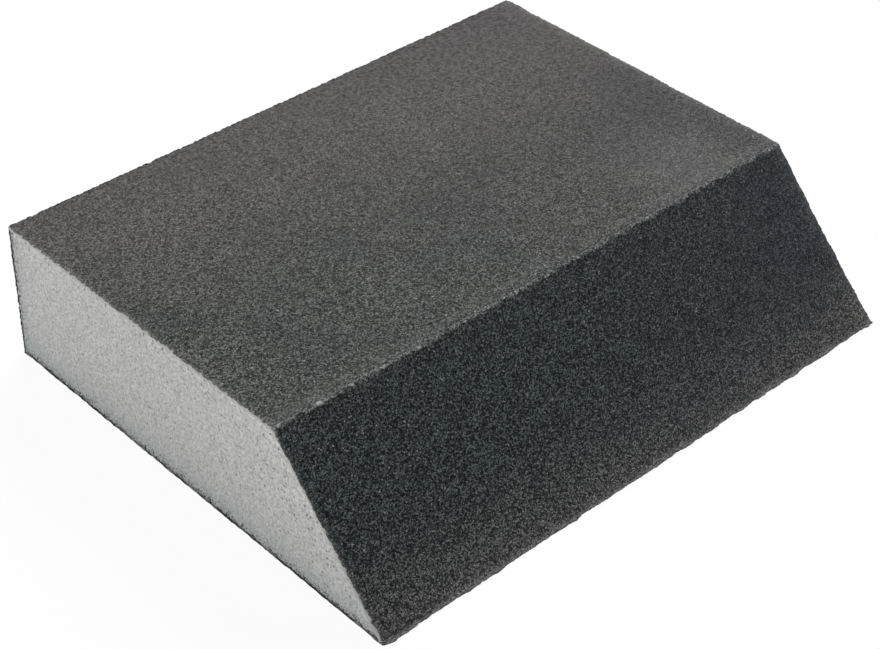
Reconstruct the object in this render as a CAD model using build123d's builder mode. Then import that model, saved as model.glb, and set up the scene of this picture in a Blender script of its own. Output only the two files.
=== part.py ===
"""Angled sanding block: a foam body with one slanted side, under four bonded coats of grit.

Millimetres. The block lies on its base: the origin is the middle of the base, +X runs along the
block, +Z points up, the slanted side faces -Y and the square back faces +Y.

Such a block starts as a foam sheet with grit on both faces. A knife cuts the sheet into strips,
square along one side and slanted along the other, and those two cut sides are coated next. The
strips are then cut across, so both ends stay bare foam. The two flat coats therefore end in
knife-cut edges that the side coats lap over, and the base's coat is left standing out as a lip.
"""

import math
import os

from build123d import *

# The cut block
block_length = 110.0
base_width = 89.0  # over everything, at the base
block_height = 25.4  # over both flat coats
bevel_angle = 47.5  # between the base and the slanted side, in degrees

# The coats, each bonded face to face to what it covers
flat_coat = 0.4  # thickness of the coats on the sheet's two faces
side_coat = 0.4  # thickness of the coats on the two cut sides

# The edges
lip_reach = 0.6  # how far the base's coat stands out in front of the slanted side's coat
brow_radius = 0.3  # where the slanted side's coat turns onto the top
heel_radius = 0.12  # where the slanted side's coat meets the lip
back_radius = 0.25  # along both long edges of the back
front_corner = 0.9  # in plan, at both ends of the lip
back_corner = 0.35  # in plan, at both ends of the back

# Where the knife and the faces are
slope = math.radians(bevel_angle)
lip_tip = -base_width / 2
back_face = base_width / 2
back_cut = back_face - side_coat
roof = block_height - flat_coat  # the foam's upper face

os.makedirs("parts", exist_ok=True)


def bevel_y(height, depth=0.0):
    """Y of the slanted side at a height: on its coat's face, or a depth below and square to it."""
    heel = lip_tip + lip_reach
    return heel + (height - flat_coat) / math.tan(slope) + depth / math.sin(slope)


# The block's outline from above, which every piece is cut to
with BuildSketch() as plan_outline:
    Rectangle(block_length, base_width)
    fillet(plan_outline.vertices().group_by(Axis.Y)[0], front_corner)
    fillet(plan_outline.vertices().group_by(Axis.Y)[-1], back_corner)


def cut_to_length():
    """Carries the section in hand both ways along the block, then cuts it to the plan outline."""
    extrude(amount=block_length / 2, both=True)
    extrude(plan_outline.sketch, amount=block_height, mode=Mode.INTERSECT)


# Each section is drawn on the YZ plane, so the sketch's own X is the block's Y, and its own Y is
# the height above the base.

# The foam body, between the two flat coats and the two knife cuts
with BuildPart() as foam_core:
    with BuildSketch(Plane.YZ):
        with BuildLine():
            Polyline(
                (bevel_y(flat_coat, side_coat), flat_coat),
                (back_cut, flat_coat),
                (back_cut, roof),
                (bevel_y(roof, side_coat), roof),
                close=True,
            )
        make_face()
    cut_to_length()
foam_core.part.label = "foam_core"
export_step(foam_core.part, "parts/foam_core.step")

# The top's coat, whose front edge is cut at the slant together with the foam under it
with BuildPart() as top_coat:
    with BuildSketch(Plane.YZ):
        with BuildLine():
            Polyline(
                (bevel_y(roof, side_coat), roof),
                (back_cut, roof),
                (back_cut, block_height),
                (bevel_y(block_height, side_coat), block_height),
                close=True,
            )
        make_face()
    cut_to_length()
top_coat.part.label = "top_coat"
export_step(top_coat.part, "parts/top_coat.step")

# The base's coat, whose front edge is the lip, with a full round nose
with BuildPart() as bottom_coat:
    with BuildSketch(Plane.YZ):
        with BuildLine():
            nose_centre = lip_tip + flat_coat / 2
            sheet = Polyline(
                (nose_centre, 0),
                (back_cut, 0),
                (back_cut, flat_coat),
                (nose_centre, flat_coat),
            )
            ThreePointArc(sheet @ 1, (lip_tip, flat_coat / 2), sheet @ 0)
        make_face()
    cut_to_length()
bottom_coat.part.label = "bottom_coat"
export_step(bottom_coat.part, "parts/bottom_coat.step")

# The slanted side's coat, which seats on the lip, covers the foam and the top coat's cut edge, and
# ends level with the top
with BuildPart() as bevel_coat:
    with BuildSketch(Plane.YZ) as bevel_section:
        with BuildLine():
            Polyline(
                (bevel_y(flat_coat), flat_coat),
                (bevel_y(flat_coat, side_coat), flat_coat),
                (bevel_y(block_height, side_coat), block_height),
                (bevel_y(block_height), block_height),
                close=True,
            )
        make_face()
        lower_corners = bevel_section.vertices().group_by(Axis.Y)[0]
        upper_corners = bevel_section.vertices().group_by(Axis.Y)[-1]
        fillet(lower_corners.sort_by(Axis.X)[0], heel_radius)
        fillet(upper_corners.sort_by(Axis.X)[0], brow_radius)
    cut_to_length()
bevel_coat.part.label = "bevel_coat"
export_step(bevel_coat.part, "parts/bevel_coat.step")

# The back's coat, which covers the foam and the back edges of both flat coats
with BuildPart() as back_coat:
    with BuildSketch(Plane.YZ) as back_section:
        with Locations((back_face, 0)):
            Rectangle(side_coat, block_height, align=(Align.MAX, Align.MIN))
        fillet(back_section.vertices().group_by(Axis.X)[-1], back_radius)
    cut_to_length()
back_coat.part.label = "back_coat"
export_step(back_coat.part, "parts/back_coat.step")
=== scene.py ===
import math

import bpy
import numpy as np
from mathutils import Matrix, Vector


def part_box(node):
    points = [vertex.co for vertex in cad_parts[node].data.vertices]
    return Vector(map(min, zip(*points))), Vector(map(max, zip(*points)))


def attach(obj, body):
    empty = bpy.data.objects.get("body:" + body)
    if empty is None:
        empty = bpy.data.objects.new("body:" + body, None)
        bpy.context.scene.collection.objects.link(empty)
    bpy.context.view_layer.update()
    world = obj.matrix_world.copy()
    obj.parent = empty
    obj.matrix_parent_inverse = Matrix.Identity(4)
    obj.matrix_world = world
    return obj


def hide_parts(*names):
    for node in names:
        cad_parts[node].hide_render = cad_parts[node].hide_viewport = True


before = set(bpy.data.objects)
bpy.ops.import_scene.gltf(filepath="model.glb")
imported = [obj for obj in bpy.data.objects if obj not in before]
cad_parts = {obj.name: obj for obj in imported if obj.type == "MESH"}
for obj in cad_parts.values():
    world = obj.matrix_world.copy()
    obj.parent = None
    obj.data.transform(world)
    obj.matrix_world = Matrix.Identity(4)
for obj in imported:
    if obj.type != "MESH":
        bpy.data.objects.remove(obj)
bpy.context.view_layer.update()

# ---- Foam core -------------------------------------------------------------------------------
# The body: light grey closed-cell foam, soft enough to give a little under the fingers. It is cut
# from sheet with a knife, so its two bare ends show opened cells, faint drag lines and flecks of
# grit that the blade carried in from the coats. The rest of it is hidden under them.

mm = 0.001
foam_low, foam_high = (np.array(corner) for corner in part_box("foam_core"))
head_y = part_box("top_coat")[0][1]  # the slanted cut at the foam's upper face
back_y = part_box("back_coat")[1][1]
lip_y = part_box("bottom_coat")[0][1]
cell_step = 0.27 * mm  # spacing of the mesh over the opened cells
cell_size = 0.3 * mm
cell_depth = 0.05 * mm
drag_size = (6 * mm, 0.6 * mm)  # the blade's lines run up and down
drag_depth = 0.006 * mm
squeeze = 0.1 * mm  # how far the foam draws in beside the base's and the back's coat
squeeze_reach = 0.3 * mm
soil_reach = 1.1 * mm  # how far in from those two coats the blade leaves grit
dust_and_shade_reach = (3.8 * mm, 2.5 * mm)  # how far dust and painted shade grey it: up from the base, in from the back
torn_reach = (1.5 * mm, 12 * mm)  # how far cells are torn: below the top, behind the slant
front_corner = np.array([0.9, 0.35]) * mm  # rounding of the left and right corners, from above
back_corner = np.array([0.35, 1.0]) * mm
knife_drift = 1.15 * mm  # how far the right end's cut runs out on its way to the foot
rng = np.random.default_rng(25)


def cut_y(height):
    """Y of the slanted knife cut: a straight line from the foam's foot to its upper face."""
    rise = (height - foam_low[2]) / (foam_high[2] - foam_low[2])
    return foam_low[1] + (head_y - foam_low[1]) * rise


def reach(y, height, side):
    """How far the left end (side 0) or the right end (side 1) is from the block's middle.

    That is half the block's length, less a quarter circle at each corner, and on the right the
    knife's drift times the square of the share of the height still to cut.
    """
    pull = 0
    for gap, radii in ((y - lip_y, front_corner), (back_y - y, back_corner)):
        radius = radii[side]
        short = np.clip(radius - gap, 0, radius)
        pull = pull + radius - np.sqrt(radius**2 - short**2)
    uncut = np.clip(1 - height / (foam_high[2] + foam_low[2]), 0, 1)
    return foam_high[0] - pull + side * knife_drift * uncut**2


def patches(shape, step, size):
    """A rough field of spread one: white noise on a grid, blurred by a bell curve as wide as size.

    step and size are (down the rows, along the columns) in metres. The blur is done on the noise's
    frequencies, so opposite edges of the field match.
    """
    down = np.fft.fftfreq(shape[0], step[0])[:, None] * size[0]
    along = np.fft.rfftfreq(shape[1], step[1])[None, :] * size[1]
    blur = np.exp(-2 * (down**2 + along**2))
    field = np.fft.irfft2(np.fft.rfft2(rng.standard_normal(shape)) * blur, s=shape)
    return (field - field.mean()) / field.std()


def new_piece(name, points, faces, fields):
    """Makes a mesh object at the origin from points, a list of face arrays and named vertex
    values."""
    mesh = bpy.data.meshes.new(name)
    corners = np.concatenate([group.ravel() for group in faces])
    sides = np.concatenate([np.full(len(group), group.shape[1]) for group in faces])
    mesh.vertices.add(len(points))
    mesh.vertices.foreach_set("co", points.ravel())
    mesh.loops.add(len(corners))
    mesh.loops.foreach_set("vertex_index", corners)
    mesh.polygons.add(len(sides))
    mesh.polygons.foreach_set("loop_start", np.concatenate([[0], np.cumsum(sides)[:-1]]))
    for field, values in fields.items():
        layer = mesh.attributes.new(field, "FLOAT", "POINT")
        layer.data.foreach_set("value", values.ravel().astype(np.float32))
    mesh.update()
    mesh.validate()
    piece = bpy.data.objects.new(name, mesh)
    bpy.context.scene.collection.objects.link(piece)
    return piece


def grid_faces(rows, columns, first=0):
    """Quads of a grid of points, wound so that along its rows cross from row to row points out."""
    number = first + np.arange(rows * columns).reshape(rows, columns)
    quads = [number[:-1, :-1], number[:-1, 1:], number[1:, 1:], number[1:, :-1]]
    return np.stack(quads, -1).reshape(-1, 4)


def grid_rim(rows, columns, first=0):
    """Numbers of a grid's outermost points, once round the way its quads are wound."""
    number = first + np.arange(rows * columns).reshape(rows, columns)
    return np.concatenate([number[0, :-1], number[:-1, -1], number[-1, :0:-1], number[:0:-1, 0]])


def foam_end(side):
    """One cut end as a grid of heights by depths, and how soiled, how greyed by dust and painted
    shade, and how torn each point is.

    A point's Y runs in equal shares from the slanted cut to the back. Its X lies under the cut face
    by the opened cells, the drag lines, and the squeeze beside the base's and the back's coats.
    Each of the three fields falls by a natural curve over its own reach from the nearest edge.
    """
    height = np.linspace(foam_low[2], foam_high[2], foam_rows)[:, None]
    share = np.linspace(0, 1, foam_columns)[None, :]
    y = cut_y(height) + (foam_high[1] - cut_y(height)) * share
    z = height + 0 * share
    step = (cell_step, cell_step)
    cells = patches(y.shape, step, (cell_size, cell_size))
    drag = patches(y.shape, step, drag_size)
    above_base, before_back = z - foam_low[2], foam_high[1] - y
    gap = np.minimum(above_base, before_back)
    soil = np.exp(-gap / soil_reach)
    depth = cell_depth * np.clip(cells, 0, 2.5) + drag_depth * np.clip(drag + 1, 0, 3)
    depth += squeeze * np.exp(-gap / squeeze_reach)
    x = (2 * side - 1) * (reach(y, z, side) - depth)
    # Painted shade and dust: bluish grey up from the base, towards the floor, and in from the back
    dust_and_shade = np.exp(-above_base / dust_and_shade_reach[0]) + 0.7 * np.exp(-before_back / dust_and_shade_reach[1])
    torn = 1.4 * np.exp(-(foam_high[2] - z) / torn_reach[0])
    torn += 1.4 * np.exp(-(y - cut_y(z)) / torn_reach[1])
    return np.stack([x, y, z], -1), soil, dust_and_shade, torn


foam_rows = round((foam_high[2] - foam_low[2]) / cell_step)
foam_columns = round((foam_high[1] - foam_low[1]) / cell_step)
right_end, *right_fields = foam_end(1)
left_end, *left_fields = foam_end(0)
left_first = foam_rows * foam_columns
right_rim = grid_rim(foam_rows, foam_columns)
left_rim = grid_rim(foam_rows, foam_columns, left_first)
sides = np.stack([np.roll(right_rim, -1), right_rim, left_rim, np.roll(left_rim, -1)], -1)
both_ends = zip(("soil", "dust_and_shade", "torn"), right_fields, left_fields)
foam = new_piece(
    "foam_body",
    np.concatenate([right_end.reshape(-1, 3), left_end.reshape(-1, 3)]),
    [
        grid_faces(foam_rows, foam_columns),
        grid_faces(foam_rows, foam_columns, left_first)[:, ::-1],
        sides,
    ],
    {name: np.stack([right, left]) for name, right, left in both_ends},
)


def linear(hex_colour):
    """Linear RGBA from an sRGB hex colour, by the sRGB curve."""
    share = np.array([int(hex_colour[i : i + 2], 16) for i in (1, 3, 5)]) / 255
    flat = np.where(share <= 0.04045, share / 12.92, ((share + 0.055) / 1.055) ** 2.4)
    return (*flat, 1.0)


def add_node(tree, kind, values={}, links={}, **properties):
    """Adds one node with its properties, its input values and what feeds its inputs."""
    node = tree.nodes.new(kind)
    for name, value in properties.items():
        setattr(node, name, value)
    for name, value in values.items():
        node.inputs[name].default_value = value
    for name, source in links.items():
        tree.links.new(source, node.inputs[name])
    return node


def new_material(name):
    """An empty node material and its tree."""
    material = bpy.data.materials.new(name)
    material.use_nodes = True
    material.node_tree.nodes.clear()
    return material, material.node_tree


def cut_foam():
    """Closed-cell polyurethane foam, knife-cut: matt and pale, with a fine mottle. Some opened
    cells are small pits of painted shade, darker where the blade tore them, and some of their torn
    skins catch the light. Bluish dust and painted shade grey it along the base and the back, where
    black crumbs of grit lie."""
    pit = 0.5 * mm  # across one of the larger cells
    mottle_size = 0.45 * mm  # small cells, of 0.1 to 0.2 mm, drawn as coarse as they need to show
    streak_size = 1.4 * mm  # across one of the blade's broader marks
    crumb_size = 0.25 * mm  # across a grain of the coats' grit
    material, tree = new_material("knife-cut closed-cell foam")
    place = add_node(tree, "ShaderNodeTexCoord").outputs["Object"]
    cells = add_node(tree, "ShaderNodeTexVoronoi", {"Scale": 1 / pit}, {"Vector": place})
    cell_random = add_node(
        tree, "ShaderNodeSeparateColor", {}, {"Color": cells.outputs["Color"]}
    )

    # The mottle: fine noise, with a little of the blade's broader marks
    fine = add_node(
        tree,
        "ShaderNodeTexNoise",
        {"Scale": 1 / mottle_size, "Detail": 2.0, "Roughness": 0.75},
        {"Vector": place},
    )
    drawn = add_node(
        tree, "ShaderNodeMapping", {"Scale": (1.0, 1.0, 0.6)}, {"Vector": place}
    )
    streak = add_node(
        tree,
        "ShaderNodeTexNoise",
        {"Scale": 1 / streak_size, "Detail": 1.0},
        {"Vector": drawn.outputs["Vector"]},
    )
    both = add_node(
        tree,
        "ShaderNodeMix",
        {0: 0.12},
        {2: fine.outputs["Fac"], 3: streak.outputs["Fac"]},
    )
    mottle = add_node(
        tree,
        "ShaderNodeMapRange",
        {"From Min": 0.34, "From Max": 0.66},
        {"Value": both.outputs[0]},
    )

    # The pits: painted shade in the middles of a quarter of the larger cells, stronger where they
    # are torn
    opened = add_node(
        tree,
        "ShaderNodeMapRange",
        {"From Min": 0.77, "From Max": 1.0, "To Min": 0.0, "To Max": 0.5},
        {"Value": cell_random.outputs["Red"]},
    )
    inside = add_node(
        tree,
        "ShaderNodeMapRange",
        {"From Min": 0.24, "From Max": 0.6, "To Min": 1.0, "To Max": 0.0},
        {"Value": cells.outputs["Distance"]},
    )
    pitted = add_node(
        tree,
        "ShaderNodeMath",
        {},
        {0: opened.outputs["Result"], 1: inside.outputs["Result"]},
        operation="MULTIPLY",
    )
    torn = add_node(tree, "ShaderNodeAttribute", attribute_name="torn")
    pitted = add_node(
        tree,
        "ShaderNodeMath",
        {},
        {0: pitted.outputs[0], 1: torn.outputs["Fac"], 2: pitted.outputs[0]},
        operation="MULTIPLY_ADD",
    )

    # The torn skins: half of the larger cells, and only where they are torn
    tatter = add_node(
        tree,
        "ShaderNodeMapRange",
        {"From Min": 0.5, "From Max": 1.0, "To Max": 0.3},
        {"Value": cell_random.outputs["Blue"]},
    )
    tatter = add_node(
        tree,
        "ShaderNodeMath",
        {},
        {0: tatter.outputs["Result"], 1: torn.outputs["Fac"]},
        operation="MULTIPLY",
    )

    # The colours: the mottle's two greys, then the pits' painted shade, the torn skins, and the
    # dust and painted shade over them
    skin = add_node(
        tree,
        "ShaderNodeMix",
        {6: linear("#9b9b9a"), 7: linear("#d0d0cd")},
        {0: mottle.outputs["Result"]},
        data_type="RGBA",
    )
    porous = add_node(
        tree,
        "ShaderNodeMix",
        {7: linear("#646663")},
        {0: pitted.outputs[0], 6: skin.outputs[2]},
        data_type="RGBA",
    )
    tattered = add_node(
        tree,
        "ShaderNodeMix",
        {7: linear("#e6e7e3")},
        {0: tatter.outputs[0], 6: porous.outputs[2]},
        data_type="RGBA",
    )
    # Dust and painted shade: bluish grey along the base and the back
    dust_and_shade = add_node(tree, "ShaderNodeAttribute", attribute_name="dust_and_shade")
    dust_and_shade = add_node(
        tree, "ShaderNodeMath", {1: 0.5}, {0: dust_and_shade.outputs["Fac"]}, operation="MULTIPLY"
    )
    shaded_and_dusted = add_node(
        tree,
        "ShaderNodeMix",
        {7: linear("#808a90")},
        {0: dust_and_shade.outputs[0], 6: tattered.outputs[2]},
        data_type="RGBA",
    )

    # The crumbs of grit: the nearer a coat, the more of them
    crumbs = add_node(
        tree, "ShaderNodeTexVoronoi", {"Scale": 1 / crumb_size}, {"Vector": place}
    )
    crumb_random = add_node(
        tree, "ShaderNodeSeparateColor", {}, {"Color": crumbs.outputs["Color"]}
    )
    soil = add_node(tree, "ShaderNodeAttribute", attribute_name="soil")
    fleck = add_node(
        tree,
        "ShaderNodeMath",
        {},
        {0: soil.outputs["Fac"], 1: crumb_random.outputs["Green"]},
        operation="SUBTRACT",
    )
    fleck = add_node(
        tree,
        "ShaderNodeMapRange",
        {"From Min": 0.0, "From Max": 0.4},
        {"Value": fleck.outputs[0]},
    )
    soiled = add_node(
        tree,
        "ShaderNodeMix",
        {7: linear("#303234")},
        {0: fleck.outputs["Result"], 6: shaded_and_dusted.outputs[2]},
        data_type="RGBA",
    )

    # The surface: hardly any gloss, with the mottle as fine relief
    bump = add_node(
        tree,
        "ShaderNodeBump",
        {"Strength": 0.7, "Distance": 0.05 * mm},
        {"Height": fine.outputs["Fac"]},
    )
    shader = add_node(
        tree,
        "ShaderNodeBsdfPrincipled",
        {"Roughness": 0.9, "Specular IOR Level": 0.2},
        {"Base Color": soiled.outputs[2], "Normal": bump.outputs["Normal"]},
    )
    add_node(tree, "ShaderNodeOutputMaterial", {}, {"Surface": shader.outputs["BSDF"]})
    return material


foam.data.materials.append(cut_foam())
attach(foam, "root")
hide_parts("foam_core")

# ---- Top coat --------------------------------------------------------------------------------
# Silicon carbide grit in a resin binder, put on the foam sheet before it was cut. The knife breaks
# grains out of its ends in small scallops, and drags foam over the cut, so the cut looks pale.

grit_step = 0.27 * mm  # spacing of a coat's mesh along the block
grain_relief = 0.045 * mm
grain_size = 0.2 * mm
swell_relief = 0.015 * mm
swell_size = 7 * mm
top_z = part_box("top_coat")[1][2]
seam_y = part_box("bevel_coat")[1][1]  # where the slant's coat ends and the top's begins


def run_length(path):
    """Distance along a line of points to each of them."""
    return np.concatenate([[0], np.cumsum(np.linalg.norm(np.diff(path, axis=0), axis=1))])


def resample(path, step):
    """The same line with points a step apart, or as near to it as divides the line evenly."""
    along = run_length(path)
    even = np.linspace(0, along[-1], round(along[-1] / step) + 1)
    return np.stack([np.interp(even, along, path[:, k]) for k in range(2)], -1)


def bend(corner, before, after, radius, points=9):
    """An arc that rounds a corner between two neighbours: its centre lies on the corner's bisector,
    the radius over the sine of half the corner's angle away, and it touches both lines."""
    corner, before, after = map(np.array, (corner, before, after))
    to_before = (before - corner) / np.linalg.norm(before - corner)
    to_after = (after - corner) / np.linalg.norm(after - corner)
    half = np.arccos(np.clip(to_before @ to_after, -1, 1)) / 2
    middle = (to_before + to_after) / np.linalg.norm(to_before + to_after)
    centre = corner + middle * radius / np.sin(half)
    start = corner + to_before * radius / np.tan(half) - centre
    end = corner + to_after * radius / np.tan(half) - centre
    turn = np.arccos(np.clip(start @ end / radius**2, -1, 1))
    share = np.linspace(0, 1, points)[:, None]
    swing = np.sin((1 - share) * turn) * start + np.sin(share * turn) * end
    return centre + swing / np.sin(turn)


def crust(name, path, bond, depth, moved, broken, bite, fields):
    """A coat as a closed sheet: a section carried along X, rough outside and bonded inside.

    path holds the section's outer points and bond the inner point that faces each, as (y, z). A
    point of the outer face stands on path, less depth, square to the path, plus moved. Its X runs
    in equal shares between the two ends, which broken shortens row by row. Inside the rim it strays
    up to three tenths of a step each way. The inner rim keeps the full length, and at each end goes
    bite deeper than bond, over the foam.
    """
    rows, columns = depth.shape
    tangent = np.gradient(path, axis=0)
    tangent /= np.linalg.norm(tangent, axis=1, keepdims=True)
    outward = np.stack([-tangent[:, 1], tangent[:, 0]], -1)
    section = path[:, None, :] - depth[:, :, None] * outward[:, None, :] + moved
    ends = reach(*np.moveaxis(section[:, [0, -1]], -1, 0), np.array([0, 1])) - broken
    share = np.linspace(0, 1, columns)[None, :]
    x = -ends[:, :1] + (ends[:, :1] + ends[:, 1:]) * share
    stray = rng.uniform(-0.3, 0.3, (2, rows, columns)) * grit_step
    stray[:, [0, -1]] = 0
    stray[:, :, [0, -1]] = 0
    x += stray[0]
    section += stray[1][:, :, None] * tangent[:, None, :]
    section[:, :, 1] = np.maximum(section[:, :, 1], 0)
    outer = np.concatenate([x[:, :, None], section], -1).reshape(-1, 3)
    rim = grid_rim(rows, columns)
    row, column = np.divmod(rim, columns)
    inner = outer[rim]
    inner[:, 1:] = bond[row]
    for end, side in ((0, 0), (columns - 1, 1)):
        there = column == end
        inner[there, 1:] -= bite[row[there], side, None] * outward[row[there]]
        inner[there, 0] = (2 * side - 1) * reach(inner[there, 1], inner[there, 2], side)
    inner_rim = rows * columns + np.arange(len(rim))
    walls = np.stack([np.roll(rim, -1), rim, inner_rim, np.roll(inner_rim, -1)], -1)
    values = {}
    for field, spread in fields.items():
        values[field] = np.concatenate([spread.ravel(), spread.ravel()[rim]])
    values["cut"] = np.concatenate([np.zeros(rows * columns), np.ones(len(rim))])
    piece = new_piece(
        name,
        np.concatenate([outer, inner]),
        [grid_faces(rows, columns), walls, inner_rim[None, ::-1]],
        values,
    )
    piece.data.shade_flat()
    return piece


columns = round(2 * foam_high[0] / grit_step)


def grit_depth(path):
    """How deep each point of a coat's outer face lies: rough noise as wide as a grain times the
    grains' relief, and slow swells."""
    step = (run_length(path)[-1] / (len(path) - 1), grit_step)
    grain = patches((len(path), columns), step, (grain_size, grain_size))
    swell = patches((len(path), columns), step, (swell_size, swell_size))
    return grain_relief * np.clip(1.2 - grain, -1, 4) + swell_relief * swell


def near(path, place, width):
    """One at a place on the path, falling by a bell curve as wide as width, as a column."""
    return np.exp(-((np.linalg.norm(path - place, axis=1) / width) ** 2))[:, None]


def patch(path, place, size):
    """A soft round patch on a coat: one at its place, (X, Y), and a bell curve as wide as size."""
    return np.exp(-((across - place[0]) ** 2 + (path[:, :1] - place[1]) ** 2) / size**2)


def along_block(size):
    """A field of spread one along the block, for what varies on an edge."""
    return patches((1, columns), (1, grit_step), (0, size))


def along_ends(rows, size):
    """A field of spread one down each of a coat's two cut ends, the left one first."""
    return np.stack([patches((rows, 1), (grit_step, 1), (size, 0))[:, 0] for _ in range(2)], -1)


across = np.linspace(-foam_high[0], foam_high[0], columns)
from_left = across + foam_high[0]
rubbed_end = np.exp((across - foam_high[0]) / (1.0 * mm))  # one on the right end's edge
frayed_end = np.exp(-from_left / (0.35 * mm))  # one on the left end's edge
darker_end = np.exp((across - foam_high[0]) / (10 * mm))  # one at the right, fading inwards
seam_depth = 0.06 * mm * np.clip(1 + 0.6 * along_block(0.4 * mm), 0, 3)


def dulling(path):
    """How far dust mats the grains: least at the front left, rising to the back right by a power
    of the distance, of which a step along the block counts a third."""
    away = 0.33 * across + path[:, :1]
    share = np.clip((away + 44 * mm) / (122 * mm), 0, 1)
    return np.clip(1.25 * share**1.45, 0.13, 0.97)


top_step = 0.31 * mm
path = resample(np.array([[seam_y, top_z], [foam_high[1], top_z]]), top_step)
bond = np.stack(
    [np.linspace(head_y, foam_high[1], len(path)), np.full(len(path), foam_high[2])], -1
)
depth = grit_depth(path)
depth[0] = seam_depth
scallops = 0.5 * along_ends(len(path), 0.9 * mm) + 0.9 * along_ends(len(path), 0.3 * mm)
broken = np.array([0.12, 0.06]) * mm * np.clip([1, 1] + [1.6, 1.0] * scallops, 0, 4)
bite = np.zeros((len(path), 2))

# Wear: a rubbed patch at the front right, a band behind the seam, paler at the left, and both ends
rubbed_patch = patch(path, (38 * mm, -15 * mm), 11 * mm)
seam_left = near(path, path[0] + [0.6 * mm, 0], 0.9 * mm) * np.exp(-from_left / (12 * mm))
seam_band = near(path, path[0] + [1.5 * mm, 0], 0.9 * mm)
worn = 0.08 * rubbed_patch + 0.09 * seam_left
worn += seam_band * (0.028 + 0.008 * across / foam_high[0])
worn += 0.15 * rubbed_end + 0.15 * frayed_end

# Dust and painted light: lighter towards the back and the right, as dust with painted light from
# the back right lamp, lighter at the front left, darker near the right and at the right end's edge,
# and painted shade along the seam
ramp = np.clip((path[:, :1] - 6 * mm) / (27 * mm), 0, 1)
lighter_left = patch(path, (-58 * mm, -20 * mm), 20 * mm)
darker_right = patch(path, (55 * mm, 9 * mm), 12 * mm)
# Painted shade along the seam with the slant's coat
seam_shade = near(path, path[0], 0.25 * mm)
dust_and_light = 0.28 + ramp * (0.66 + 0.22 * across / foam_high[0]) - 0.28 * darker_end
dust_and_light += 0.08 * lighter_left - 0.15 * darker_right - 0.2 * seam_shade
dust_and_light += 0.05 * patches(depth.shape, (top_step, grit_step), (9 * mm, 9 * mm))
fields = {"worn": worn, "dust_and_light": dust_and_light, "matted": dulling(path)}
top = crust("top_grit", path, bond, depth, 0, broken, bite, fields)


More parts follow.
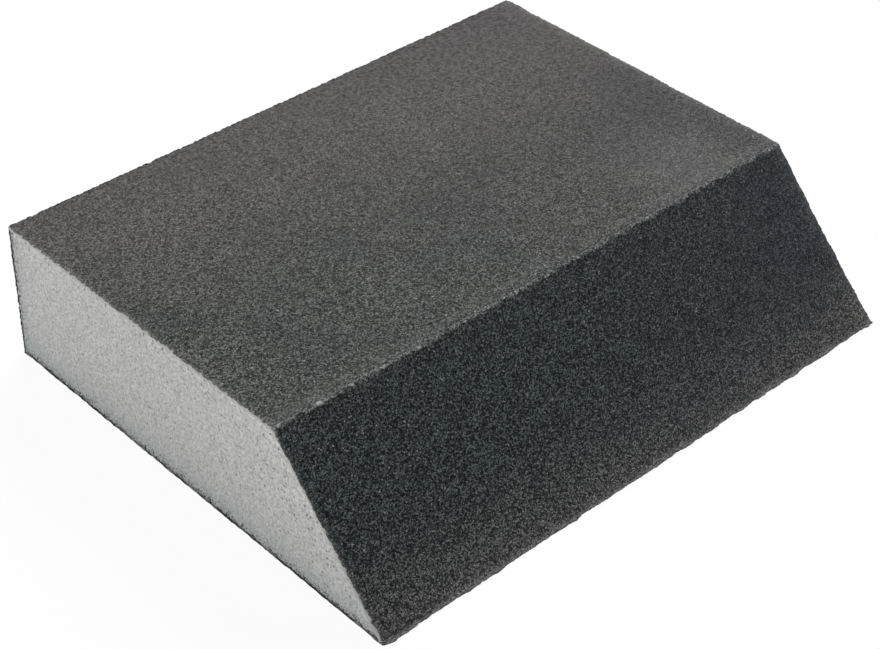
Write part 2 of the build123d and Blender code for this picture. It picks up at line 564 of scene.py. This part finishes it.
def grit_finish(name, grain, contrast, gap, clean, right_clean, dust_and_light_colour, painted_glints, matt, cut):
    """Silicon carbide in resin: angular grains, each with its own grey, painted shade between them,
    and a few painted glints. The resin's tint drifts along the block. Sanding dust and painted
    light lighten the grains first, then dust mats them to soft clumps between two greys, and
    rubbing turns them pale. The coat's cut ends have their own colour.

    A medium grit's grains are 0.1 to 0.2 mm, too fine to show, so they are drawn as coarse as they
    need to show.
    """
    material, tree = new_material(name)
    place = add_node(tree, "ShaderNodeTexCoord").outputs["Object"]
    grains = add_node(
        tree, "ShaderNodeTexVoronoi", {"Scale": 1 / grain}, {"Vector": place}
    )
    grain_random = add_node(
        tree, "ShaderNodeSeparateColor", {}, {"Color": grains.outputs["Color"]}
    )
    fine = add_node(
        tree,
        "ShaderNodeTexNoise",
        {"Scale": 1 / (0.6 * grain), "Detail": 1.0},
        {"Vector": place},
    )

    # The grains: each one's own grey and fine noise, darker towards its edge as painted shade,
    # raised to a power
    shade = add_node(
        tree,
        "ShaderNodeMath",
        {},
        {0: grain_random.outputs["Red"], 1: fine.outputs["Fac"]},
        operation="ADD",
    )
    shade = add_node(
        tree,
        "ShaderNodeMath",
        {1: -0.9},
        {0: grains.outputs["Distance"], 2: shade.outputs[0]},
        operation="MULTIPLY_ADD",
    )
    tone = add_node(
        tree,
        "ShaderNodeMapRange",
        {"From Min": 0.1, "From Max": 1.2},
        {"Value": shade.outputs[0]},
    )
    tone = add_node(
        tree,
        "ShaderNodeMath",
        {1: contrast},
        {0: tone.outputs["Result"]},
        operation="POWER",
    )

    # Their colour: the resin's tint, which drifts from left to right, lightened by dust and painted
    # light, over the painted shade of the gaps
    position = add_node(tree, "ShaderNodeSeparateXYZ", {}, {"Vector": place})
    drift = add_node(
        tree,
        "ShaderNodeMapRange",
        {"From Min": -30 * mm, "From Max": 50 * mm},
        {"Value": position.outputs["X"]},
    )
    resin = add_node(
        tree,
        "ShaderNodeMix",
        {6: linear(clean), 7: linear(right_clean)},
        {0: drift.outputs["Result"]},
        data_type="RGBA",
    )
    dust_and_light = add_node(tree, "ShaderNodeAttribute", attribute_name="dust_and_light")
    lit = add_node(
        tree,
        "ShaderNodeMix",
        {7: linear(dust_and_light_colour)},
        {0: dust_and_light.outputs["Fac"], 6: resin.outputs[2]},
        data_type="RGBA",
    )
    body = add_node(
        tree,
        "ShaderNodeMix",
        {6: linear(gap)},
        {0: tone.outputs[0], 7: lit.outputs[2]},
        data_type="RGBA",
    )

    # The glints: painted highlights, a few grains coloured pale as if a face caught the light
    glint = add_node(
        tree,
        "ShaderNodeMapRange",
        {"From Min": 1 - painted_glints, "From Max": 1.0},
        {"Value": grain_random.outputs["Green"]},
    )
    glinting = add_node(
        tree,
        "ShaderNodeMix",
        {7: linear("#aeb0ae")},
        {0: glint.outputs["Result"], 6: body.outputs[2]},
        data_type="RGBA",
    )

    # Thick dust: soft clumps, three grains wide, that hide the grains
    clumps = add_node(
        tree,
        "ShaderNodeTexNoise",
        {"Scale": 1 / (3 * grain), "Detail": 0.0},
        {"Vector": place},
    )
    clumped = add_node(
        tree,
        "ShaderNodeMapRange",
        {"From Min": 0.3, "From Max": 0.7},
        {"Value": clumps.outputs["Fac"]},
    )
    dust = add_node(
        tree,
        "ShaderNodeMix",
        {6: linear(matt[0]), 7: linear(matt[1])},
        {0: clumped.outputs["Result"]},
        data_type="RGBA",
    )
    matted = add_node(tree, "ShaderNodeAttribute", attribute_name="matted")
    dulled = add_node(
        tree,
        "ShaderNodeMix",
        {},
        {0: matted.outputs["Fac"], 6: glinting.outputs[2], 7: dust.outputs[2]},
        data_type="RGBA",
    )

    # The cut ends, and over everything the rubbed grains
    cut_here = add_node(tree, "ShaderNodeAttribute", attribute_name="cut")
    ragged = add_node(
        tree,
        "ShaderNodeMapRange",
        {"From Min": cut[1], "From Max": cut[1] + 0.2},
        {"Value": cut_here.outputs["Fac"]},
    )
    edged = add_node(
        tree,
        "ShaderNodeMix",
        {7: linear(cut[0])},
        {0: ragged.outputs["Result"], 6: dulled.outputs[2]},
        data_type="RGBA",
    )
    worn = add_node(tree, "ShaderNodeAttribute", attribute_name="worn")
    rubbed = add_node(
        tree,
        "ShaderNodeMix",
        {7: linear("#bebfbd")},
        {0: worn.outputs["Fac"], 6: edged.outputs[2]},
        data_type="RGBA",
    )

    # The surface: a low gloss, with the grains as relief
    bump = add_node(
        tree,
        "ShaderNodeBump",
        {"Strength": 0.7, "Distance": 0.06 * mm},
        {"Height": shade.outputs[0]},
    )
    shader = add_node(
        tree,
        "ShaderNodeBsdfPrincipled",
        {"Roughness": 0.7, "Specular IOR Level": 0.1},
        {"Base Color": rubbed.outputs[2], "Normal": bump.outputs["Normal"]},
    )
    add_node(tree, "ShaderNodeOutputMaterial", {}, {"Surface": shader.outputs["BSDF"]})
    return material


flat_grit = {
    "grain": 0.25 * mm,
    "contrast": 1.6,
    # gap: near black, painted shade between the grains
    "gap": "#080908",
    "clean": "#677470",
    "right_clean": "#6c6e6f",
    "dust_and_light_colour": "#aca8a4",
    "painted_glints": 0.004,
    "matt": ("#403e3e", "#5c5a5a"),
}
foam_drag = "#b8b9b7"  # a cut end with foam dragged over it
top.data.materials.append(
    grit_finish("silicon carbide grit on the top", cut=(foam_drag, 0.0), **flat_grit)
)
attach(top, "root")
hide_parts("top_coat")

# ---- Bottom coat -----------------------------------------------------------------------------
# The same coat on the sheet's other face, which the block lies on. Its front edge was left standing
# out under the slant as a thin lip, which is chewed along its whole length.

bottom_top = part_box("bottom_coat")[1][2]
nose = bottom_top / 2
flat_end = lip_y + 2 * mm  # where the plain base ends and the finer mesh of the lip begins
lip_step = 0.17 * mm
base = resample(np.array([[foam_high[1], 0], [flat_end, 0]]), 0.5 * mm)
front = [[flat_end, 0], [lip_y, 0], [lip_y, bottom_top], [foam_low[1], bottom_top]]
tip = np.concatenate([
    [front[0]],
    bend(front[1], front[0], front[2], nose * 0.95),
    bend(front[2], front[1], front[3], nose * 0.95),
    [front[3]],
])
path = np.concatenate([base[:-1], resample(tip, lip_step)])
share = run_length(path)[:, None] / run_length(path)[-1]
bond = np.array([[foam_high[1], bottom_top]]) * (1 - share)
bond += np.array([[foam_low[1] + 0.05 * mm, bottom_top]]) * share
lip_tip = np.array([lip_y, nose])
at_lip = near(path, lip_tip, 0.5 * mm)
depth = np.maximum(grit_depth(path) * (1 - 0.8 * near(path, lip_tip, 1.2 * mm)), 0)

# The lip: drawn in by a chewed outline, in mm, with a stub and a dip by its curled-up left end
curled = 1 / (1 + np.exp((across + 47.5 * mm) / (0.5 * mm)))  # one along the lip's left end
chewed = 0.09 * along_block(2.5 * mm) + 0.05 * along_block(0.6 * mm) + 0.27 - 0.17 * curled
stub = np.exp(-(((from_left - 0.8 * mm) / (1.3 * mm)) ** 2))
dip = np.exp(-(((from_left - 6.3 * mm) / (1.0 * mm)) ** 2))
chewed += 0.25 * dip - 0.22 * stub
lifted = curled * (0.08 + 0.3 * np.exp(-from_left / (2.5 * mm)))
moved = np.zeros((*depth.shape, 2))
moved[:, :, 0] = at_lip * np.clip(chewed, -0.4, 0.5) * mm
moved[:, :, 1] = at_lip * lifted * mm

# The cut ends: a dark strip that bites up into the foam, and pale grains along the lip
broken = 0.04 * mm * np.clip(1 + along_ends(len(path), 0.6 * mm), 0, 3)
broken[:, 0] += 0.06 * mm
bite = 0.12 * mm * np.clip(1.9 + 1.2 * along_ends(len(path), 0.4 * mm), 0, 3)
pale = 0.22 + 0.2 * patches(depth.shape, (lip_step, grit_step), (0.1 * mm, 0.2 * mm))
worn = at_lip * np.clip(pale, 0, 0.8)
worn[:, [0, -1]] = np.clip(0.3 * along_ends(len(path), 0.3 * mm), 0, 0.6)
fields = {"worn": worn, "dust_and_light": 0 * depth + 0.28, "matted": 0 * depth}
bottom = crust("bottom_grit", path, bond, depth, moved, broken, bite, fields)
dark_cut = "#1d1f20"  # a clean cut through grit and resin
bottom.data.materials.append(
    grit_finish("silicon carbide grit on the base", cut=(dark_cut, 0.0), **flat_grit)
)
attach(bottom, "root")
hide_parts("bottom_coat")

# ---- Bevel coat ------------------------------------------------------------------------------
# The slant was coated after the cut, with the same grit in a darker binder. It laps over the cut
# edge of the top coat, and sits on the lip below.

side_coat = back_y - foam_high[1]
slope = math.atan2(foam_high[2] - foam_low[2], head_y - foam_low[1])
lift = side_coat / math.sin(slope)  # the coat's thickness, measured level
slant_step = 0.2 * mm
heel = np.array([cut_y(foam_low[2]) - lift, foam_low[2]])  # the face's foot, on the lip
brow = np.array([cut_y(top_z) - lift, top_z])  # its head, level with the top
toe = heel - [0.2 * mm, 0]  # where the resin's fillet begins on the lip
line = np.concatenate([
    bend(heel, toe, brow, 0.4 * mm),
    bend(brow, heel, [seam_y, top_z], 0.25 * mm),
    [[seam_y, top_z]],
])
path = np.concatenate([[[foam_low[1], foam_low[2]], heel], resample(line, slant_step)])
heights = np.linspace(foam_low[2] + 0.05 * mm, top_z - 0.05 * mm, len(path))
bond = np.stack([cut_y(heights), heights], -1)
at_brow = near(path, brow, 0.35 * mm)

# Its face: grains smooth out at the foot, and stand up in a jagged line along the brow
depth = grit_depth(path) * (1 - 0.7 * near(path, heel, 0.6 * mm))
jag = 1.0 * along_block(0.25 * mm) + 0.5 * along_block(0.8 * mm)
depth += at_brow * (0.12 * jag - 0.08) * mm
depth[-1] = seam_depth

# The foot: the resin's fillet on the lip fills up or leaves a crease, from place to place
up_slant = (brow - heel) / np.linalg.norm(brow - heel)
bare = path.copy()
filled = (path[:, 1] < heel[1] + 1 * mm) & (np.arange(len(path)) > 1)
climb = np.clip((path[filled] - heel) @ up_slant, 0, None)
bare[filled] = heel + climb[:, None] * up_slant
creased = np.clip(0.1 + 0.4 * along_block(3 * mm) + 0.3 * along_block(0.8 * mm), 0, 1)
moved = creased[0, :, None] * (bare - path)[:, None, :]
moved[:, :, 0] += near(path, heel, 0.5 * mm) * 0.25 * mm * curled
moved[:, :, 0] += at_brow * 0.13 * mm * along_block(0.3 * mm)

# Where it laps on to the top, past a ragged line, it takes the top's dust
past_brow = run_length(path)[:, None] - run_length(path)[np.argmax(near(path, brow, 1 * mm))]
lap = np.clip(0.5 + (past_brow - 0.25 * mm * along_block(0.25 * mm)) / (0.15 * mm), 0, 1)

# Wear: rubbed grains along the brow and the foot, both ends, and one pale crumb left on the brow
brow_pale = 0.6 * patches(depth.shape, (slant_step, grit_step), (0.1 * mm, 0.1 * mm))
brow_pale += 0.15 * along_block(1.5 * mm) - 0.1 + 0.3 * np.exp(-from_left / (12 * mm))
foot_pale = patches(depth.shape, (slant_step, grit_step), (0.1 * mm, 0.2 * mm))
foot_pale = np.clip(0.1 + 0.12 * foot_pale, 0, 0.5)
worn = at_brow * np.clip(brow_pale, 0, 0.9) * 0.85
worn += near(path, heel + [0, 0.1 * mm], 0.5 * mm) * foot_pale * (1 - 0.7 * curled)
worn = worn + 0.12 * rubbed_end + 0.15 * frayed_end
crumb = near(path, brow, 0.3 * mm) * np.exp(-(((across + 46.2 * mm) / (0.35 * mm)) ** 2))
crumb = np.clip(1.6 * crumb, 0, 1)
worn = np.clip(worn + 0.9 * crumb, 0, 1)
depth -= 0.1 * mm * crumb

# Dust and painted light: lighter low on the slant and low at its ends, as dust with painted light
# from the floor, lighter towards the right and by the brow as painted light, and painted shade in a
# dark groove under the curled lip
low = np.clip((12 * mm - path[:, 1:]) / (12 * mm), 0, 1) ** 2
# Painted shade in the groove: it takes dust and matting away there
groove = near(path, heel + [0.1 * mm, 0.15 * mm], 0.25 * mm) * curled * 0.8
ends_low = 0.3 * np.exp(-from_left / (25 * mm)) + 1.1 * darker_end**0.5
dust_and_light = 0.11 * lap + 0.04 * np.clip((across - 10 * mm) / (30 * mm), 0, 1)
dust_and_light = dust_and_light + low * (0.78 + ends_low) + 0.08 * near(path, brow, 1.2 * mm) - 0.7 * groove
matted = (0.08 + 0.27 * np.clip((across + 3 * mm) / (48 * mm), 0, 1)) * (1 - lap)
matted = (matted + 0.35 * low * (1 - 0.8 * darker_end**0.5)) * (1 - groove)

# The cut ends: broken back most at the left foot, in scallops and slow swells
scallops = 0.4 * along_ends(len(path), 1.2 * mm) + 0.7 * along_ends(len(path), 0.3 * mm)
swells = along_ends(len(path), 3.0 * mm)
broken = np.array([0.36, 0.13]) * mm * np.linspace([1, 1], [0, 1], len(path))
broken += np.array([0.14, 0.035]) * mm * scallops + np.array([0, 0.07]) * mm * swells
broken = np.clip(broken, 0, 0.7 * mm)
bite = np.zeros((len(path), 2))
fields = {"worn": worn, "dust_and_light": dust_and_light, "matted": matted}
bevel = crust("bevel_grit", path, bond, depth, moved, broken, bite, fields)
side_grit = {
    "grain": 0.22 * mm,
    "contrast": 2.0,
    # gap: near black, painted shade between the grains
    "gap": "#020303",
    "clean": "#7d8786",
    "right_clean": "#7b8389",
    "dust_and_light_colour": "#cdc8bf",
    "painted_glints": 0.012,
    "matt": ("#32373f", "#484d55"),
}
bevel.data.materials.append(
    grit_finish("silicon carbide grit on the slant", cut=(foam_drag, 0.1), **side_grit)
)
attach(bevel, "root")
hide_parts("bevel_coat")

# ---- Back coat -------------------------------------------------------------------------------
# The slant's dark grit, bonded the same way over the sheet's square cut. It covers the back edges
# of the top's and the base's coats, and its own cut ends show as a dark line up each end.

back_step = 0.22 * mm
corners = [[foam_high[1], top_z], [back_y, top_z], [back_y, 0], [foam_high[1], 0]]
line = np.concatenate([
    [corners[0]],
    bend(corners[1], corners[0], corners[2], 0.25 * mm),
    bend(corners[2], corners[1], corners[3], 0.25 * mm),
    [corners[3]],
])
path = resample(line, back_step)
heights = np.linspace(top_z - 0.05 * mm, 0.05 * mm, len(path))
bond = np.stack([np.full(len(path), foam_high[1]), heights], -1)
depth = grit_depth(path)
depth += 0.06 * mm * patches(depth.shape, (back_step, grit_step), (0.25 * mm, 0.4 * mm))
depth = np.maximum(depth, 0)
depth += near(path, corners[1], 0.35 * mm) * 0.05 * mm * np.clip(along_block(0.5 * mm), -1, 3)
broken = 0.08 * mm * np.clip(1 + 1.6 * along_ends(len(path), 0.6 * mm), 0, 4)
bite = 0.15 * mm * np.clip(0.6 + along_ends(len(path), 0.5 * mm), 0, 3)
fields = {"worn": 0 * depth, "dust_and_light": 0 * depth, "matted": 0 * depth}
rear = crust("back_grit", path, bond, depth, 0, broken, bite, fields)
rear.data.materials.append(
    grit_finish("silicon carbide grit on the back", cut=(dark_cut, 0.0), **side_grit)
)
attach(rear, "root")
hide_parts("back_coat")

# ---- Camera ----------------------------------------------------------------------------------
# A long lens above the front left end. It looks down on the top, the slant and the left end from
# a third of a metre away, turned slightly about its own axis.

focal_length = 85.08  # in mm, on a film 36 mm wide
azimuth, elevation, roll = math.radians(-43.914), math.radians(37.956), math.radians(1.371)
distance = 328.85 * mm
target = np.array([-10.253, -7.555, 12.9]) * mm
back = np.array(
    [
        math.sin(azimuth) * math.cos(elevation),
        -math.cos(azimuth) * math.cos(elevation),
        math.sin(elevation),
    ]
)
level = np.cross(-back, [0, 0, 1])
level /= np.linalg.norm(level)
upright = np.cross(level, -back)
right = math.cos(roll) * level + math.sin(roll) * upright
up = math.cos(roll) * upright - math.sin(roll) * level

lens = bpy.data.cameras.new("camera")
lens.sensor_width = 36.0
lens.lens = focal_length
lens.clip_start = 0.01
camera = bpy.data.objects.new("camera", lens)
bpy.context.scene.collection.objects.link(camera)
pose = np.eye(4)
pose[:3, 0], pose[:3, 1], pose[:3, 2] = right, up, back
pose[:3, 3] = target + distance * back
camera.matrix_world = Matrix(pose.tolist())
bpy.context.scene.camera = camera

# ---- Light -----------------------------------------------------------------------------------
# An even white room, a soft lamp low on the left, and a soft lamp near the back right. Seen
# straight or in a gloss the room is plain white, and it lights the block at a quarter of that.

world = bpy.data.worlds.new("studio")
bpy.context.scene.world = world
world.use_nodes = True
world.node_tree.nodes.clear()


def seen_directly(tree):
    """One where the camera sees a surface itself, or in a gloss or through glass, else zero."""
    ray = add_node(tree, "ShaderNodeLightPath")
    either = add_node(
        tree,
        "ShaderNodeMath",
        {},
        {0: ray.outputs["Is Camera Ray"], 1: ray.outputs["Is Glossy Ray"]},
        operation="MAXIMUM",
    )
    return add_node(
        tree,
        "ShaderNodeMath",
        {},
        {0: either.outputs[0], 1: ray.outputs["Is Transmission Ray"]},
        operation="MAXIMUM",
    ).outputs[0]


room = 0.25
strength = add_node(
    world.node_tree,
    "ShaderNodeMix",
    {2: room, 3: 1.0},
    {0: seen_directly(world.node_tree)},
)
sky = add_node(
    world.node_tree,
    "ShaderNodeBackground",
    {"Color": (1, 1, 1, 1)},
    {"Strength": strength.outputs[0]},
)
add_node(world.node_tree, "ShaderNodeOutputWorld", {}, {"Surface": sky.outputs["Background"]})


def soft_lamp(name, towards, distance, size, power):
    """A square lamp that faces the block's middle from a direction and distance, with its distance
    and width in metres and its power in watts."""
    lamp = bpy.data.lights.new(name, "AREA")
    lamp.size = size
    lamp.energy = power
    lamp_object = bpy.data.objects.new(name, lamp)
    bpy.context.scene.collection.objects.link(lamp_object)
    aim = np.array(towards) / np.linalg.norm(towards)
    side = np.cross([0, 1, 0.1], aim)
    side /= np.linalg.norm(side)
    pose = np.eye(4)
    pose[:3, 0], pose[:3, 1], pose[:3, 2] = side, np.cross(aim, side), aim
    pose[:3, 3] = aim * distance
    lamp_object.matrix_world = Matrix(pose.tolist())


soft_lamp("left lamp", towards=(-0.9, 0.1, 0.4), distance=1.5, size=0.8, power=10.5)
soft_lamp("back right lamp", towards=(0.6, 0.4, 0.7), distance=0.8, size=0.45, power=6.1)

# ---- Floor -----------------------------------------------------------------------------------
# White card under the block, 6 m square. It is seen mostly as plain white, with a trace of the
# shadow that falls on it.

floor_mesh = bpy.data.meshes.new("floor")
half = 3.0
corners = [(-half, -half, 0), (half, -half, 0), (half, half, 0), (-half, half, 0)]
floor_mesh.from_pydata(corners, [], [(0, 1, 2, 3)])
floor = bpy.data.objects.new("floor", floor_mesh)
bpy.context.scene.collection.objects.link(floor)
material, tree = new_material("white card")
card = add_node(tree, "ShaderNodeBsdfDiffuse", {"Color": linear("#f4f4f4")})
white = add_node(tree, "ShaderNodeEmission", {"Color": (1, 1, 1, 1), "Strength": 1.0})
whitened = add_node(
    tree, "ShaderNodeMath", {1: 0.95}, {0: seen_directly(tree)}, operation="MULTIPLY"
)
shader = add_node(
    tree,
    "ShaderNodeMixShader",
    {},
    {0: whitened.outputs[0], 1: card.outputs["BSDF"], 2: white.outputs["Emission"]},
)
add_node(tree, "ShaderNodeOutputMaterial", {}, {"Surface": shader.outputs["Shader"]})
floor_mesh.materials.append(material)

bpy.context.scene.view_settings.view_transform = "Standard"
